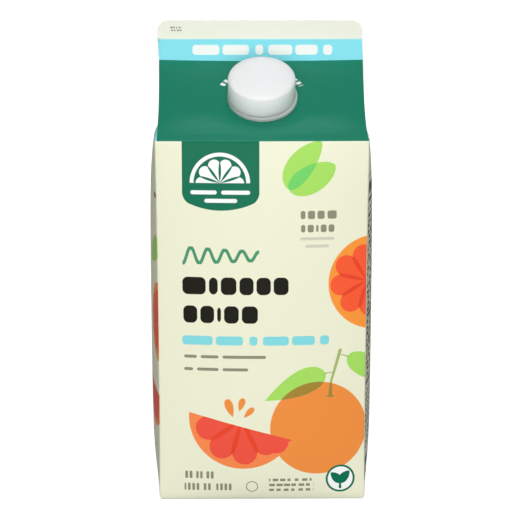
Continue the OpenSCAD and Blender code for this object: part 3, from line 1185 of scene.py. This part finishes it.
class CARTON_OT_finishes(bpy.types.Operator):
    """Makes the print, the board and the plastic"""

    bl_idname = "carton.finishes"
    bl_label = "Finishes"

    def execute(self, context):
        ink, sizes = context.scene.carton_ink, context.scene.carton_board
        gable, caps = Gable(sizes), context.scene.carton_cap
        for make in (disc_shape, bar_shape, leaf_shape, stalk_shape, segments_shape, words_shape,
                     wave_shape, board_surface, plastic_surface):
            make()
        for art in (front_art, left_art, right_art, roof_art, fin_art):
            art(ink)
        printed_material("front_print", "Front art", "front")
        printed_material("left_print", "Left art", "left")
        printed_material("right_print", "Right art", "right")
        printed_material("fin_print", "Fin art", "front")
        w, shader, drawing, (x, y, z) = printed_material("roof_ink", "Roof art", "front", 0.22)
        rise = w.math("DIVIDE", w.math("SUBTRACT", z, gable.crease / MM), math.sin(gable.angle))
        # Behind the ridge the dashes' centre is moved out of reach
        behind = w.math("MULTIPLY", w.math("GREATER_THAN", y, 0.0), 1000.0)
        w.feed(drawing.inputs["Point"], w.join(w.math("ADD", x, behind), rise))
        drawing.inputs["Centre"].default_value = (0, (gable.slope / 2 + caps.up) / MM, 0)
        plain_material("gable_ink", ink.cyan, "Board surface", 0.35, 0.6 * MM)
        layered_material("raw_board", ink, sizes)
        for name, tint in (("cap_plastic", ink.cap), ("ring_plastic", ink.ring)):
            shader = plain_material(name, tint, "Plastic surface", 0.15, 0.05 * MM)[1]
            # Thin white plastic lets some light through
            shader.inputs["Subsurface Weight"].default_value = 1.0
            shader.inputs["Subsurface Radius"].default_value = (1, 1, 1)
            shader.inputs["Subsurface Scale"].default_value = 8 * MM
        return {"FINISHED"}


# ---------------------------------------------------------------- stage


def studio_light(name, power, size, place, aim, tint=(1, 1, 1)):
    lamp = bpy.data.lights.new(name, "AREA")
    lamp.energy, lamp.size, lamp.color = power, size, tint
    holder = bpy.data.objects.new(name, lamp)
    bpy.context.scene.collection.objects.link(holder)
    holder.location = place
    holder.rotation_euler = (Vector(aim) - Vector(place)).to_track_quat("-Z", "Y").to_euler()
    return holder


class CARTON_OT_stage(bpy.types.Operator):
    """Puts down the floor, the lights and the camera"""

    bl_idname = "carton.stage"
    bl_label = "Stage"

    def execute(self, context):
        look = context.scene.carton_stage
        begin_piece()
        bpy.ops.mesh.primitive_plane_add(size=12, location=(0, 0, 0))
        floor = bpy.context.object
        floor.name = "floor"
        bpy.ops.mesh.primitive_uv_sphere_add(segments=64, ring_count=32, radius=7, location=(0, 0, 0))
        backdrop = bpy.context.object
        backdrop.name = "backdrop"
        paper = bpy.data.materials.new("white_paper")
        paper.use_nodes = True
        shader = paper.node_tree.nodes["Principled BSDF"]
        shader.inputs["Base Color"].default_value = (0.3, 0.3, 0.3, 1)
        shader.inputs["Roughness"].default_value = 0.9
        shader.inputs["Emission Color"].default_value = (1, 1, 1, 1)
        shader.inputs["Emission Strength"].default_value = look.glow
        for sheet in (floor, backdrop):
            sheet.data.materials.append(paper)
            # Both are seen bright, but don't light the shaded walls
            sheet.visible_diffuse = sheet.visible_glossy = False
        backdrop.visible_shadow = False

        middle_height = (0, 0, look.aim)
        studio_light("front_light", look.key, 1.5, (-0.12, -1.8, 0.42), middle_height)
        studio_light("top_light", look.top, 0.5, (0.0, -0.3, 1.25), (0, 0, 2 * look.aim))
        studio_light("back_light", look.back, 1.2, (0.3, 1.8, 0.9), middle_height)
        # The low light only lifts the shade under the cap, and leaves no shine on the wall
        low = studio_light("low_light", look.fill, 0.5, (0.0, -0.8, 0.16), middle_height)
        low.visible_glossy = False

        world = bpy.data.worlds.new("studio")
        world.use_nodes = True
        back = world.node_tree.nodes["Background"]
        back.inputs["Color"].default_value = (1, 1, 1, 1)
        back.inputs["Strength"].default_value = look.sky
        context.scene.world = world
        context.scene.view_settings.view_transform = "Standard"

        camera = bpy.data.cameras.new("camera")
        camera.lens, camera.sensor_width = look.lens, 36
        camera.clip_start, camera.clip_end = 0.05, 50
        holder = bpy.data.objects.new("camera", camera)
        context.scene.collection.objects.link(holder)
        level = look.distance * math.cos(look.elevation)
        holder.location = Vector(middle_height) + Vector((
            level * math.sin(look.azimuth),
            -level * math.cos(look.azimuth),
            look.distance * math.sin(look.elevation),
        ))
        aim = Vector(middle_height) - holder.location
        holder.rotation_euler = aim.to_track_quat("-Z", "Y").to_euler()
        context.scene.camera = holder
        return {"FINISHED"}


class CARTON_PT_panel(bpy.types.Panel):
    """Lists the carton's parts and settings"""

    bl_idname = "CARTON_PT_panel"
    bl_label = "Carton"
    bl_space_type = "VIEW_3D"
    bl_region_type = "UI"
    bl_category = "Carton"

    def draw(self, context):
        for operator in OPERATORS:
            self.layout.operator(operator.bl_idname)
        for name in SETTINGS:
            group = getattr(context.scene, name)
            box = self.layout.box()
            for key in group.bl_rna.properties.keys():
                if key not in ("rna_type", "name"):
                    box.prop(group, key)


OPERATORS = (CARTON_OT_finishes, CARTON_OT_board, CARTON_OT_cap, CARTON_OT_stage)
SETTINGS = {
    "carton_board": BoardSizes,
    "carton_cap": CapSizes,
    "carton_ink": InkColours,
    "carton_stage": StageSettings,
}
CLASSES = (*SETTINGS.values(), *OPERATORS, CARTON_PT_panel)


def register():
    for cls in CLASSES:
        bpy.utils.register_class(cls)
    for name, group in SETTINGS.items():
        setattr(bpy.types.Scene, name, PointerProperty(type=group))


def unregister():
    for name in SETTINGS:
        delattr(bpy.types.Scene, name)
    for cls in reversed(CLASSES):
        bpy.utils.unregister_class(cls)


def main():
    register()
    bpy.ops.carton.finishes()
    bpy.ops.carton.board()
    bpy.ops.carton.cap()
    bpy.ops.carton.stage()


if __name__ == "__main__":
    main()
